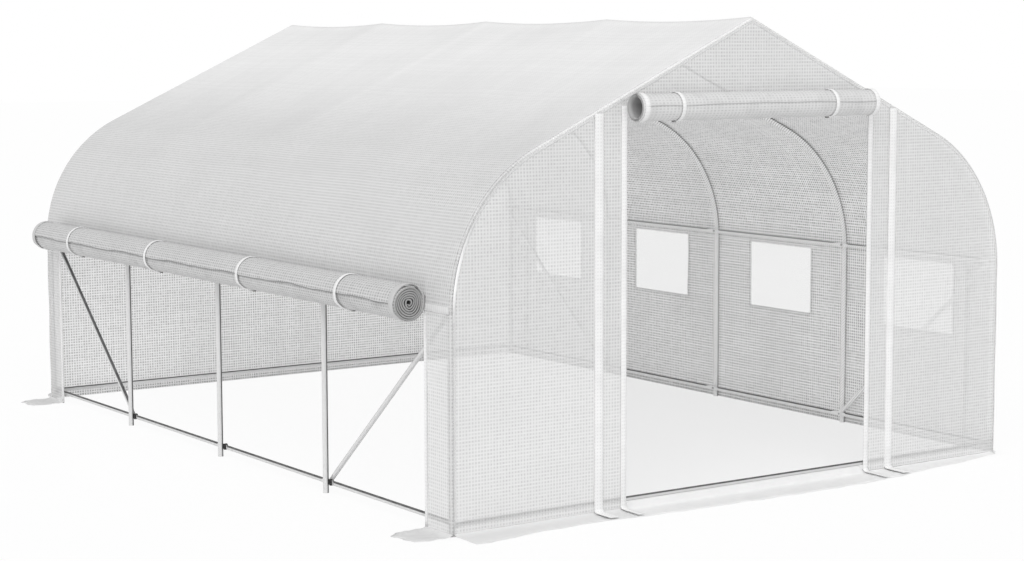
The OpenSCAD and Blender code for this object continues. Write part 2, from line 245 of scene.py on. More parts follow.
def seamFilm(cell, thread, bright):
    # the doubled hem along the end edges, with a painted highlight on the front left shoulder
    def build(graph):
        mask = threadMask(graph, *uvWires(graph))[0]
        x, y, z = axes(graph, objectWire(graph))
        # painted highlight: a bright, more opaque patch where the hem turns over the front left shoulder
        shoulderHighlight = z.ease(0.80, 0.98) * (1 - z.ease(1.06, 1.26)) * (0 - x).ease(1.2, 1.3) * (0 - y).ease(0.0, 1.0)
        base = graph.mix(mask, grey(cell), grey(thread))
        base = graph.mix(shoulderHighlight, base, grey(bright))
        return surface(graph, base, 0.6 - shoulderHighlight * 0.15, (0.15, 0.001, mask),
                       {"Alpha": shoulderHighlight * 0.72 + 0.25, "Specular IOR Level": 0.3})
    return build


# lengths of a rib, a stitch and a cell across the tape, and how much darker stitches and cells are
tapeWeave = {"rib": 0.0032, "stitch": 0.0075, "row": 0.40, "rowHalf": 0.05, "cell": 1 / 3, "cellSoft": (0.12, 0.40),
             "worn": 8, "cellTone": 30, "stitchTone": 45}


def tapeCloth(tone):
    # ribs across the tape, a row of stitches near each edge, and the film's cells faintly through it; u runs
    # across from 0 to 1
    def build(graph):
        u, v = uvWires(graph)
        rib = v.steps(tapeWeave["rib"])
        row = 1 - (((u - 0.5).size() - tapeWeave["row"]) / tapeWeave["rowHalf"]).size().ease(0.4, 1.0)
        stitch = row * v.steps(tapeWeave["stitch"]).ease(0.12, 0.24)
        cells = v.steps(weave["pitch"]).ease(*tapeWeave["cellSoft"]) * u.steps(tapeWeave["cell"]).ease(
            *tapeWeave["cellSoft"])
        base = graph.mix(noise(graph, 14.0, 3.0).ease(0.3, 0.8), grey(tone), grey(tone - tapeWeave["worn"]))
        base = graph.mix(cells * 0.55, base, grey(tone - tapeWeave["cellTone"]))
        base = graph.mix(stitch * 0.5, base, grey(tone - tapeWeave["stitchTone"]))
        return surface(graph, base, rib * 0.2 + 0.66, (0.3, 0.0006, rib + stitch * -1.2),
                       {"Specular IOR Level": 0.2})
    return build


# display greys of the tubes: their zinc, the stripes of the painted reflection of the weave, the front hoop against
# the film painted light, the front base rail painted in shade and the painted shade line; and the strength of the
# painted glow
tubeSet = {"zinc": (222, 234), "mirrored": (255, 204), "atFilm": 250, "frontRail": 204, "shadeLine": 56, "glow": 0.17}


def zincTube(graph):
    # pale zinc with a faint spangle; the side of each tube that faces up or to the right has a painted shade line,
    # and the tubes under the cover have the film's threads painted on as a striped reflection and glow with painted
    # light
    place = objectWire(graph)
    spangle = graph.node("TexVoronoi", {}, {"Vector": place, "Scale": 95.0, "Randomness": 1.0}, 1)
    spots = graph.node("SeparateColor", {}, {0: spangle}, 0)
    cloud = noise(graph, 22.0, 4.0)
    nx, ny, nz = axes(graph, graph.node("TexCoord", out=1))
    x, y, z = axes(graph, place)
    under = x.ease(-1.30, -1.05)             # 1 for the tubes under the cover
    behind = (y + 1.97).ease(0.0, 0.02)      # 0 for the front hoop, which lies against the film
    low = 1 - z.ease(0.06, 0.12)             # 1 for the base rails
    covered = under * (1 - low)
    rail = (1 - (z - tunnel["sideRail"]).size().ease(0.014, 0.018)) * x.ease(1.2, 1.3)
    stripe = (z - x * 0.6 + y).steps(weave["pitch"]).ease(0.14, 0.36)
    # where each side faces up or to the right: the masks of the painted shade line
    openLine = (nx * 0.83 - ny * 0.56).ease(0.50, 0.78).larger(nz.ease(0.30, 0.62))
    hoopLine = (nx * 0.83 - ny * 0.30 + nz * 0.80).ease(0.30, 0.54) * (stripe * 0.4 + 0.6)
    railLine = (nz.ease(0.42, 0.64) + (0 - nz).ease(0.70, 0.86) * 0.6) * (stripe * 0.25 + 0.75)
    shadeLine = openLine * ((1 - under) * behind).larger(low) + hoopLine.larger(railLine * rail) * covered * behind
    zinc, mirrored = ([grey(k) for k in tubeSet[name]] for name in ("zinc", "mirrored"))
    base = graph.mix(spots * 0.4 + cloud * 0.6, *zinc)
    # painted reflection: the tubes under the cover show the film's threads as stripes
    base = graph.mix(covered * behind, base, graph.mix(stripe, *mirrored))
    # painted light: the front hoop, which lies against the film, is made nearly white
    base = graph.mix(covered * (1 - behind), base, grey(tubeSet["atFilm"]))
    # painted shade: the front base rail, which the sun lights full on, is made darker
    base = graph.mix(low * (0 - y).ease(1.9, 1.95) * 0.8, base, grey(tubeSet["frontRail"]))
    # painted shade: a dark line down the side that faces up or to the right
    base = graph.mix(shadeLine * (cloud * 0.3 + 0.75), base, grey(tubeSet["shadeLine"]))
    # painted light: the tubes under the cover glow in their own colours
    return surface(graph, base, spots * 0.05 + cloud * 0.08 + 0.25, (0.05, 0.0005, cloud), {
        "Metallic": 0.1, "Emission Color": graph.mix(under, grey(0), base),
        "Emission Strength": tubeSet["glow"]})


# black with a fine grain, for the foot plugs and for the painted shade blocks under the straps
def blackPlasticAndShadeFinish(graph):
    grain = noise(graph, 420.0, 2.0)
    return surface(graph, graph.mix(grain, grey(30), grey(52)), grain * 0.2 + 0.36, (0.15, 0.0004, grain))


def boltZinc(graph):
    cloud = noise(graph, 160.0, 3.0)
    return surface(graph, graph.mix(cloud, grey(178), grey(214)), cloud * 0.2 + 0.25,
                   sockets={"Metallic": 0.6})


finishes = {name: finishMaterial(name, build) for name, build in {
    "coverFilm": gridFilm(196, 230, 0.86, top=(246, 250), thinRim=True),
    # coverInside, wallInside and backInside are shaded and lit copies of the outer films: their darker cells are
    # painted shade and their glow is painted daylight
    "coverInside": gridFilm(116, 250, 0.86, 0.32, thinRim=True),
    "wallFilm": gridFilm(210, 248, 0.47),
    "sideFilm": gridFilm(206, 244, 0.62, thinRim=True),
    "wallInside": gridFilm(104, 252, 0.62, 0.22, thinRim=True),
    "backInside": gridFilm(136, 254, 0.56, 0.32),
    "edgeFilm": seamFilm(224, 250, 254),
    "hemFilm": plainFilm(250, 0.22, 0.05),
    "eaveFilm": gridFilm(216, 238),
    "rollFilm": gridFilm(160, 222, rolled=True),
    "doorRollFilm": rolledFilm(197, 224, 180, 0.36),
    "rollInner": rolledFilm(168, 221, 70, 0.42),
    "rollEnd": plainFilm(164, 1.0, 0.05),
    "rollHem": plainFilm(208, 1.0, 0.1),
    "softEdge": plainFilm(186, 1.0, 0.1),
    "darkEdge": plainFilm(126, 1.0, 0.1),
    "skirtFilm": plainFilm(246, 0.94, 0.08, 236),
    "tabFilm": plainFilm(230, 0.96),
    "windowNet": plainFilm(246, 0.16, 0.0),
    "whiteTape": tapeCloth(247),
    "steelTube": zincTube,
    "blackPlasticAndShade": blackPlasticAndShadeFinish,
    "boltSteel": boltZinc,
}.items()}
print("finishes made")


def stacked(*values):
    return np.stack(np.broadcast_arrays(*values), -1)


def runLength(path):
    # distance along a path at each of its points
    return np.concatenate([[0], np.cumsum(np.linalg.norm(np.diff(path, axis=0), axis=1))])


def gridPart(points, uv=None, keep=None, loopU=False, loopV=False):
    # points is an array of rows and columns of places; keep says which cells get a face
    points = np.asarray(points, float)
    rows, cols = points.shape[:2]
    i, j = np.meshgrid(np.arange(rows if loopU else rows - 1),
                       np.arange(cols if loopV else cols - 1), indexing="ij")
    if keep is not None:
        i, j = i[keep], j[keep]
    i, j = i.ravel(), j.ravel()
    a, b = (i + 1) % rows, (j + 1) % cols
    faces = np.stack([i * cols + j, a * cols + j, a * cols + b, i * cols + b], 1)
    if uv is None:
        uv = np.stack(np.meshgrid(np.linspace(0, 1, rows + loopU), np.linspace(0, 1, cols + loopV),
                                  indexing="ij"), -1)
    corners = np.stack([uv[i, j], uv[i + 1, j], uv[i + 1, j + 1], uv[i, j + 1]], 1)
    return points.reshape(-1, 3), faces, corners


def outward(part):
    # turns a closed part's faces round if its volume comes out negative
    points, faces, corners = part
    a, b, c, d = (points[faces[:, k]] for k in range(4))
    volume = (a * np.cross(b, c)).sum() + (a * np.cross(c, d)).sum()
    return part if volume > 0 else (points, faces[:, ::-1], corners[:, ::-1])


def makePiece(name, parts, material, stands=(), thick=0.0, inside=None, rim=None):
    starts = np.cumsum([0] + [len(part[0]) for part in parts])
    places, corners = (np.concatenate([part[k] for part in parts]) for k in (0, 2))
    faces = np.concatenate([part[1] + start for part, start in zip(parts, starts)])
    used, faces = np.unique(faces, return_inverse=True)
    places, faces = places[used], faces.reshape(-1, 4)
    mesh = bpy.data.meshes.new(name)
    mesh.vertices.add(len(places))
    mesh.vertices.foreach_set("co", places.astype(np.float32).ravel())
    mesh.loops.add(faces.size)
    mesh.loops.foreach_set("vertex_index", faces.astype(np.int32).ravel())
    mesh.polygons.add(len(faces))
    mesh.polygons.foreach_set("loop_start", np.arange(0, faces.size, 4, dtype=np.int32))
    mesh.update(calc_edges=True)
    mesh.uv_layers.new(name="cloth").data.foreach_set("uv", corners.astype(np.float32).ravel())
    mesh.polygons.foreach_set("use_smooth", np.ones(len(faces), bool))
    mesh.materials.append(finishes[material])
    piece = bpy.data.objects.new(name, mesh)
    bpy.context.scene.collection.objects.link(piece)
    if thick:
        wall = piece.modifiers.new("thickness", "SOLIDIFY")
        wall.thickness, wall.offset = thick, 0.0
        if inside:
            mesh.materials.append(finishes[inside])      # the far face of the sheet
            wall.material_offset = 1
        if rim:
            mesh.materials.append(finishes[rim])         # the cut edges
            wall.material_offset_rim = len(mesh.materials) - 1
    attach(piece, "root")
    if stands:
        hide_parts(*stands)
    return piece


def ease(x):
    x = np.clip(x, 0, 1)
    return x * x * (3 - 2 * x)


def ripple(a, b, seed, size):
    # a few crossed sine waves: a calm unevenness that is the same on every run
    r = np.random.default_rng(seed)
    total = 0
    for k in range(5):
        fa, fb, turn = r.uniform(0.6, 2.4), r.uniform(0.6, 2.4), r.uniform(0, 6.28)
        total = total + np.sin((fa * a + fb * b) * (1 + 0.7 * k) * 2.2 + turn) / (1 + k)
    return size * total / 2.28


def sectionLength(out):
    # lengths of the bend's arc and of the roof's slope, for a sheet that lies out from the hoops' middle line
    arc = (bendRadius + out) * (math.pi / 2 - roofPitch)
    slope = (bendX + (bendRadius + out) * math.sin(roofPitch)) / math.cos(roofPitch)
    return arc, slope


def sectionPoint(s, out):
    # s is the distance from the ridge along the sheet, negative on the left: a straight slope, then
    # the bend's arc. Returns x, z and the normal's x, z.
    arc, slope = sectionLength(out)
    side, run = np.sign(s), np.abs(s)
    radius = bendRadius + out
    turn = roofPitch + np.clip(run - slope, 0, None) / radius
    onSlope = run <= slope
    x = np.where(onSlope, run * math.cos(roofPitch), bendX + radius * np.sin(turn))
    top = tunnel["ridge"] + out / math.cos(roofPitch)
    z = np.where(onSlope, top - run * math.sin(roofPitch), leg + radius * np.cos(turn))
    normalX = np.where(onSlope, math.sin(roofPitch), np.sin(turn))
    normalZ = np.where(onSlope, math.cos(roofPitch), np.cos(turn))
    return side * x, z, side * normalX, normalZ


def endTop(x, out):
    # height of the section over x
    radius = bendRadius + out
    tangentX = bendX + radius * math.sin(roofPitch)
    run = np.abs(x)
    line = tunnel["ridge"] + out / math.cos(roofPitch) - run * math.tan(roofPitch)
    bend = leg + np.sqrt(np.clip(radius ** 2 - (run - bendX) ** 2, 0, None))
    return np.where(run <= tangentX, line, bend)


def roundEdge(q):
    # q is the distance along the sheet from the middle; near each end it turns on a quarter circle.
    # Returns the place along the tunnel and how far the sheet has dropped below its own surface.
    r = edgeRound
    straight = endY - r
    turn = np.clip((np.abs(q) - straight) / r, 0, math.pi / 2)
    return np.sign(q) * (np.minimum(np.abs(q), straight) + r * np.sin(turn)), r * (1 - np.cos(turn))


sheetHalf = endY - edgeRound * (1 - math.pi / 2)     # half the length laid out flat
edgeLines = np.linspace(endY - edgeRound, sheetHalf, 9)


# roof cover: one sheet over the hoops that sags a little in each bay
roofSet = {"across": 180, "along": 176, "ridgeSag": 0.017, "slopeSag": 0.009, "bendSag": 0.007, "shoulderSag": 0.005,
           "eaveSag": 0.001, "uneven": 0.0012}


def roofSheet(arc, slope):
    s = np.linspace(-(arc + slope), arc + slope, roofSet["across"] + 1)[:, None]
    inner = np.linspace(-edgeLines[0], edgeLines[0], roofSet["along"] + 1)
    q = np.concatenate([-edgeLines[:0:-1], inner, edgeLines[1:]])[None, :]
    y, drop = roundEdge(q)
    x, z, nx, nz = sectionPoint(s, sideOut)
    bay = np.clip((y + tunnel["halfLength"]) / tunnel["bay"], 0, 4)
    t = bay - np.floor(np.clip(bay, 0, 3.9999))
    dip = 4 * t * (1 - t)
    sags = [roofSet[k + "Sag"] for k in ("ridge", "slope", "slope", "bend", "shoulder", "eave")]
    depth = np.interp(np.abs(s), [0, 0.25, 1.0, slope, slope + 0.45 * arc, slope + arc], sags)
    move = -depth * dip + ripple(s, y, 3, roofSet["uneven"]) * dip - drop
    return gridPart(stacked(x + nx * move, y, z + nz * move), stacked(q, s))


arcLength, slopeLength = sectionLength(sideOut)
roofCover = makePiece("roofCover", [roofSheet(arcLength, slopeLength)], "coverFilm",
                      ("left_roof_sheet", "right_roof_sheet", "left_shoulder_sheet", "right_shoulder_sheet"),
                      sheetThick, inside="coverInside")
2 * (arcLength + slopeLength)
print("roof cover laid")


endSet = {"columns": 50, "lower": 60, "upper": 18, "belly": 0.004, "uneven": 0.0015}
endHalf, endOut = wallX - edgeRound, sideOut - edgeRound


def endSheet(y, face, doorway, seed):
    # columns of constant x from the ground to the section; rows above the split bound the doorway
    edges = [-endHalf, -doorHalf, doorHalf, endHalf]
    columns = [np.linspace(a, b, endSet["columns"] + 1)[:-1] for a, b in zip(edges, edges[1:])]
    x = np.concatenate(columns + [[endHalf]])
    top = endTop(x, endOut)
    ratio = doorTop / endTop(np.array(doorHalf), endOut)
    split = np.where(np.abs(x) <= doorHalf + 1e-6, doorTop, top * ratio)
    low = np.linspace(0, 1, endSet["lower"] + 1)[:-1] * split[:, None]
    high = split[:, None] + np.linspace(0, 1, endSet["upper"] + 1) * (top - split)[:, None]
    z = np.concatenate([low, high], 1)
    x = np.broadcast_to(x[:, None], z.shape)
    rim = ease((top[:, None] - z) / 0.12) * ease((endHalf - np.abs(x)) / 0.1)
    belly = face * (0.5 + 0.5 * np.sin(z * 2.1 + x)) * endSet["belly"]
    move = belly * rim + ripple(x * 2, z * 2, seed, endSet["uneven"]) * rim
    keep = None
    if doorway:
        column = (x[:-1, 0] + x[1:, 0]) / 2
        keep = ~((np.abs(column) < doorHalf)[:, None] & (np.arange(z.shape[1] - 1) < endSet["lower"]))
    points, uv = np.stack([x, y + move, z], -1), np.stack([x, z], -1)
    return gridPart(points[::-face], uv[::-face], keep)


endArea = 2 * endHalf * float(np.mean(endTop(np.linspace(0, endHalf, 2000), endOut)))
frontWall = makePiece("frontWall", [endSheet(-endY, -1, True, 5)], "wallFilm",
                      ("front_left_panel", "front_right_panel", "front_gable"), sheetThick)
backWall = makePiece("backWall", [endSheet(endY, 1, False, 6)], "sideFilm", ("back_panel",),
                     sheetThick, inside="backInside")
print("end walls hung")


sideSet = {"rows": 44, "uneven": 0.002, "windowLow": 0.529, "windowHigh": 0.867, "windowHalf": 0.235,
           "windowPlaces": (-1.5, -0.5, 0.5, 1.5), "cellY": 0.028, "cellZ": 0.02, "netOver": (0.010, 0.008),
           "netBelly": 0.004, "netThick": 0.0005}
windowHalf, windowLow, windowHigh, windowPlaces = (sideSet["window" + k] for k in ("Half", "Low", "High", "Places"))


def sideSheet(x, y, seed, z=None, keep=None):
    # a flat wall with a calm unevenness that dies out at its rims
    if z is None:
        z = np.linspace(0, leg, sideSet["rows"] + 1)
    q, z = np.meshgrid(y, z, indexing="ij")
    y, drop = roundEdge(q)
    rim = ease(z / 0.05) * ease((leg - z) / 0.08)
    move = ripple(y * 2, z * 3, seed, sideSet["uneven"]) * rim - np.sign(x) * drop
    return gridPart(np.stack([x + move, y, z], -1), np.stack([q, z], -1), keep)


def stripLines(front):
    lines = np.concatenate([np.linspace(openingHalf, edgeLines[0], 12), edgeLines[1:]])
    return -lines[::-1] if front else lines


leftStrips = makePiece("leftCornerStrips", [sideSheet(-wallX, stripLines(k), 8 + k) for k in (True, False)],
                       "wallFilm", ("left_front_strip", "left_back_strip"), sheetThick)


def spacedLines(stops, step):
    parts = [np.linspace(a, b, max(2, round((b - a) / step) + 1))[:-1] for a, b in zip(stops, stops[1:])]
    return np.concatenate(parts + [[stops[-1]]])


windowStops = sorted([p + k * windowHalf for p in windowPlaces for k in (-1, 1)])
wallY = spacedLines([-edgeLines[0], *windowStops, edgeLines[0]], sideSet["cellY"])
wallY = np.concatenate([-edgeLines[:0:-1], wallY, edgeLines[1:]])
wallZ = spacedLines([0, windowLow, windowHigh, leg], sideSet["cellZ"])
middleY, middleZ = (wallY[:-1] + wallY[1:]) / 2, (wallZ[:-1] + wallZ[1:]) / 2
inWindow = np.min(np.abs(middleY[:, None] - np.array(windowPlaces)), 1) < windowHalf
inRows = (middleZ > windowLow) & (middleZ < windowHigh)
rightWall = makePiece("rightWall", [sideSheet(wallX, wallY, 12, wallZ, ~(inWindow[:, None] & inRows))], "sideFilm",
                      ("right_wall", "right_front_strip", "right_back_strip"),
                      sheetThick, inside="wallInside")
windowArea = 4 * 2 * windowHalf * (windowHigh - windowLow)


def netSheet(place):
    # a fine net that bellies out a few millimetres in the middle
    u, v = np.meshgrid(np.linspace(-1, 1, 25), np.linspace(-1, 1, 19), indexing="ij")
    y = place + u * (windowHalf + sideSet["netOver"][0])
    z = (windowLow + windowHigh) / 2 + v * ((windowHigh - windowLow) / 2 + sideSet["netOver"][1])
    belly = sideSet["netBelly"] * (1 - u ** 2) * (1 - v ** 2)
    return gridPart(np.stack([wallX + 0.0012 + belly, y, z], -1), np.stack([y, z], -1))


windowNets = makePiece("windowNets", [netSheet(p) for p in windowPlaces], "windowNet",
                       ("window_nets",), sideSet["netThick"])
print("side walls hung")


tapeSet = {"doorEdge": 0.028, "seam": 0.044, "seamX": 0.802, "thick": 0.0010, "proud": 0.0016, "turnsIn": 0.0008,
           "opening": 0.020, "eave": 0.028, "eaveHeight": 0.890, "rightWall": 0.030, "window": 0.022, "foot": 0.008,
           "top": 0.872, "edgeSeam": 0.012, "edgeTurnsIn": 0.0009}
bandColumns = np.array([-0.5, -0.46, 0.0, 0.46, 0.5])      # places across a band, whose edges are bent down
bandDrop = np.array([-1.0, 0, 0, 0, -1.0])


def tapePart(path, across, width):
    # path is the middle line, and across the sideways direction
    across = np.broadcast_to(np.asarray(across, float), path.shape)
    up = np.cross(np.gradient(path, axis=0), across)
    up /= np.linalg.norm(up, axis=1, keepdims=True)
    u, drop = (bandColumns * width)[:, None, None], (bandDrop * tapeSet["turnsIn"])[:, None, None]
    points = path + across * u + up * drop
    return gridPart(points, stacked((bandColumns + 0.5)[:, None], runLength(path)))


def bentPath(a, b, c, radius, step=0.02):
    # straight from a to b and on to c, with the corner turned on a small arc (a quadratic curve)
    a, b, c = np.array([a, b, c], float)
    before, after = (b + (k - b) / np.linalg.norm(k - b) * radius for k in (a, c))
    t = np.linspace(0, 1, 9)[:, None]
    turn = (1 - t) ** 2 * before + 2 * t * (1 - t) * b + t ** 2 * after
    points = np.concatenate([[a], turn, [c]])
    length = runLength(points)
    fine = np.unique(np.concatenate([length, np.arange(0, length[-1], step)]))
    return np.stack([np.interp(fine, length, points[:, k]) for k in range(3)], 1)


skirtSet = {"width": 0.165, "rows": 12, "columns": 180, "clear": 0.0012, "buckle": 0.0035, "foot": 0.010,
            "sill": 0.036, "turn": 0.012, "tab": 0.172, "tabBuckle": 0.006, "edgeWave": 0.05, "edgeRipple": 0.004}
frontEdge = ([-1.515, -1.50, -1.44, -1.21, -0.88, -0.57, 0.13, 0.49, 0.775, 0.98, 1.22, 1.43, 1.515],
             [0.07, 0.150, 0.166, 0.124, 0.112, 0.146, 0.171, 0.171, 0.144, 0.101, 0.077, 0.030, 0.018])


def groundSheet(line, outDirection, reach, seed, buckle=skirtSet["buckle"], rise=skirtSet["foot"]):
    # from the wall's foot out over the ground, with low ripples. Its inner edge is turned up by rise, which
    # dies out as an exponential of the distance out, the faster the higher it is. Rows are closer at the foot.
    t = np.linspace(0, 1, skirtSet["rows"] + 1) ** 2
    along = runLength(line)
    wavy = reach * (1 + ripple(along * 7, along * 0 + seed, seed, skirtSet["edgeWave"]))
    wavy = wavy + ripple(along * 16, along * 0, seed + 1, skirtSet["edgeRipple"])
    out = t * wavy[:, None]
    lift = np.abs(ripple(along[:, None] * 6, out * 12, seed + 2, buckle)) * np.sin(np.pi * t)
    rise = np.broadcast_to(rise, along.shape)[:, None]
    foot = rise * np.exp(-out * rise / (skirtSet["turn"] * skirtSet["foot"]))
    points = line[:, None, :] + out[..., None] * np.asarray(outDirection, float)
    points[..., 2] = skirtSet["clear"] + lift + foot
    return gridPart(points, stacked(along[:, None], out))


def lineBetween(a, b, count):
    t = np.linspace(0, 1, count)[:, None]
    return np.asarray(a, float) * (1 - t) + np.asarray(b, float) * t


frontFoot = lineBetween((-1.500, -endY, 0), (1.500, -endY, 0), skirtSet["columns"])
backFoot = lineBetween((-1.500, endY, 0), (1.500, endY, 0), skirtSet["columns"])
rightFoot = lineBetween((wallX, -endY, 0), (wallX, endY, 0), skirtSet["columns"])
frontReach = np.interp(frontFoot[:, 0], *frontEdge)
backReach = skirtSet["width"] * ease((1.54 - np.abs(backFoot[:, 0])) / 0.09)
sideReach = 0.012 + skirtSet["width"] * ease((rightFoot[:, 1] + 1.75) / 0.9) * ease(
    (endY + 0.03 - rightFoot[:, 1]) / 0.1)
frontRise = skirtSet["foot"] + (skirtSet["sill"] - skirtSet["foot"]) * ease(
    (doorHalf + 0.01 - np.abs(frontFoot[:, 0])) / 0.03)
frontSkirt = makePiece("frontSkirt", [groundSheet(frontFoot, (0, -1, 0), frontReach, 21, rise=frontRise)],
                       "skirtFilm", ("front_skirt",), sheetThick)
backSkirt = makePiece("backSkirt", [groundSheet(backFoot, (0, 1, 0), backReach, 24)], "skirtFilm",
                      ("back_skirt",), sheetThick)
rightSkirt = makePiece("rightSkirt", [groundSheet(rightFoot, (1, 0, 0), sideReach, 27)], "skirtFilm",
                       ("right_skirt",), sheetThick)


def tabSheet(near, far, seed):
    line = lineBetween((-wallX, near, 0), (-wallX, far, 0), 40)
    shape = np.interp(np.linspace(0, 1, 40), [0, 0.1, 0.35, 0.55, 0.8, 1.0], [0.62, 0.95, 1.05, 0.98, 1.08, 0.82])
    return groundSheet(line, (-1, 0, 0), skirtSet["tab"] * shape, seed, skirtSet["tabBuckle"])


leftTabs = makePiece("leftSkirtTabs", [tabSheet(-endY - 0.008, -openingHalf, 31),
                                       tabSheet(openingHalf, endY, 34)],
                     "tabFilm", ("left_skirt_tabs",), sheetThick)
print("skirts laid")


def frontTape(x, width, top):
    # down the front wall, round its foot and out over the skirt
    face = -endY - tapeSet["proud"] - 0.004
    reach = float(np.interp(x, *frontEdge)) - 0.004
    path = bentPath((x, face, top), (x, face, 0.012), (x, -endY - reach, 0.0105), 0.016)
    return tapePart(path, (1, 0, 0), width)


def seamTape(x):
    # from the gable's edge
    return frontTape(x, tapeSet["seam"], float(endTop(abs(x) + tapeSet["seam"] / 2, sideOut)) - 0.004)


makePiece("doorTapes", [
    frontTape(-doorHalf - 0.006, tapeSet["doorEdge"], doorTop),
    frontTape(doorHalf + 0.014, tapeSet["doorEdge"], doorTop),
    seamTape(-tapeSet["seamX"]), seamTape(tapeSet["seamX"] + 0.02),
], "whiteTape", ("door_tapes",), tapeSet["thick"])


def sideTape(x, y, low, high, width, face):
    x = x + face * tapeSet["proud"]
    return tapePart(lineBetween((x, y, high), (x, y, low), 30), (0, -face, 0), width)


def levelTape(x, z, near, far, width, face):
    x = x + face * tapeSet["proud"]
    return tapePart(lineBetween((x, near, z), (x, far, z), 30), (0, 0, face), width)


makePiece("openingTapes", [
    sideTape(-wallX, k * (openingHalf + 0.009), tapeSet["foot"], tapeSet["top"], tapeSet["opening"], -1)
    for k in (-1, 1)], "whiteTape", ("left_opening_tapes",), tapeSet["thick"])
makePiece("eaveHems", [
    levelTape(-wallX, tapeSet["eaveHeight"], near, far, tapeSet["eave"], -1)
    for near, far in ((-endY + 0.010, -openingHalf), (openingHalf, endY - 0.010))
], "eaveFilm", (), tapeSet["thick"])
makePiece("rightWallTapes", [
    sideTape(wallX, k * openingHalf, tapeSet["foot"], tapeSet["top"], tapeSet["rightWall"], 1)
    for k in (-1, 1)], "whiteTape", ("right_wall_tapes",), tapeSet["thick"])


def windowHem(place):
    # four bands round the window, which overlap at the corners
    width, x = tapeSet["window"], wallX + tapeSet["proud"] + 0.0022
    half, low, high = windowHalf + 0.010, windowLow - 0.010, windowHigh + 0.010
    end = half + width / 2
    upright = [sideTape(x, place + k * half, low - width / 2, high + width / 2, width, 1) for k in (-1, 1)]
    return upright + [levelTape(x + 0.0008, z, place - end, place + end, width, 1) for z in (low, high)]


makePiece("windowHems", sum([windowHem(p) for p in windowPlaces], []), "hemFilm",
          ("window_hems",), tapeSet["thick"])


def seamBand(face):
    # the doubled hem of roof and end wall, just inside the wall's rim and down both corners
    low = endOut - 0.0065
    arc, slope = sectionLength(low)
    x, z, nx, nz = sectionPoint(np.linspace(-(arc + slope), arc + slope, 241), low)
    foot = np.linspace(0.006, leg, 40)[:-1]
    x, nx, nz = (np.pad(k, len(foot), mode="edge") for k in (x, nx, nz))
    z = np.concatenate([foot, z, foot[::-1]])
    path, u = stacked(x, face * (endY + 0.0018), z), bandColumns * tapeSet["edgeSeam"]
    points = path + stacked(nx, 0, nz) * u[:, None, None]
    points[..., 1] += bandDrop[:, None] * tapeSet["edgeTurnsIn"] * face
    return gridPart(points, stacked(u[:, None], runLength(path)))


makePiece("edgeSeams", [seamBand(-1), seamBand(1)], "edgeFilm", (), 0.0008)
print("tapes sewn on")


# the rolled up side wall, with width and thickness of its straps and end hems, and angles in degrees
wallRollSet = {"x": -1.5897, "z": 0.909, "radius": 0.0680, "pitch": 0.0092, "core": 0.009, "half": 1.8406,
               "thick": 0.0072, "rise": 0.030, "flapRadius": 0.0738, "flapThick": 0.0012, "flapFrom": 58,
               "flapTo": 177, "cord": 0.0013, "strapPlaces": (-1.385, -0.515, 0.44, 1.372),
               "strap": (0.021, 0.0016), "strapRadius": 0.0732, "overFlap": 0.0046, "hem": (0.032, 0.0010)}
rollX, rollZ, rollHalf, flapRadius = (wallRollSet[k] for k in ("x", "z", "half", "flapRadius"))


def strapPinch(place, straps):
    # 1 under each strap, dying out beside it as a bell curve
    return sum(np.exp(-((place - p) / 0.05) ** 2) for p in straps)


def rollWobble(y, squeeze):
    # pulled in under each strap, a little slack between
    return -squeeze * strapPinch(y, wallRollSet["strapPlaces"]) + ripple(y * 2.2, y * 0, 44, 0.0010)


def wallRollSheet():
    # down from the eave, then a spiral from the outside in, whose core is squeezed flat
    turns = (wallRollSet["radius"] - wallRollSet["core"]) / wallRollSet["pitch"]
    a = np.linspace(0, turns * 2 * np.pi, int(turns * 40) + 1)[:, None]
    y = np.linspace(-1, 1, 81)[None, :]
    radius = wallRollSet["radius"] - wallRollSet["pitch"] * a / (2 * np.pi)
    along = y * (rollHalf + 0.003 * np.sin(1.9 * a))
    grow = rollWobble(along, 0.0012) * radius / wallRollSet["radius"]
    radius = radius + grow + 0.0007 * np.sin(3 * a + 1.3 * along) * (radius > 0.02)
    flat = 1 - 0.45 * ease((0.024 - radius) / 0.02)
    x = rollX + radius * np.cos(a) * flat
    first = np.linspace(wallRollSet["rise"], 0.004, 6)[:, None]
    hangX = x[:1] + 0.0012 * first / wallRollSet["rise"]
    points = np.concatenate([stacked(hangX, along[:1], rollZ + first),
                             stacked(x, along, rollZ - radius * np.sin(a))])
    run = runLength(points[:, 40])
    return gridPart(points, stacked(y * rollHalf, run[:, None])), float(run[-1])


wallRollPart, wallRollLength = wallRollSheet()
leftWallRoll = makePiece("leftWallRoll", [wallRollPart], "rollInner", ("left_wall_roll",),
                         wallRollSet["thick"], rim="rollEnd")


def flapEnd(y):
    return math.radians(wallRollSet["flapTo"]) + ripple(y * 3.1, y * 0, 52, 0.08)


def flapPoints(y, turn, out):
    radius = flapRadius + rollWobble(y, 0.0008) + out
    return stacked(rollX + radius * np.cos(turn), y, rollZ + radius * np.sin(turn))


def rollFlap():
    # the loose edge of the outer turn: from the crease at the wall over the roll to a wavy edge at half height
    y = np.linspace(-rollHalf, rollHalf, 161)[None, :]
    t = np.linspace(0, 1, 31)[:, None]
    start = math.radians(wallRollSet["flapFrom"])
    turn = start + (flapEnd(y) - start) * t
    points = flapPoints(y, turn, 0.0010 * ease((t - 0.85) / 0.15))
    return gridPart(points, stacked(y, turn * flapRadius))


wallRollFlap = makePiece("wallRollFlap", [rollFlap()], "rollFilm", (), wallRollSet["flapThick"])


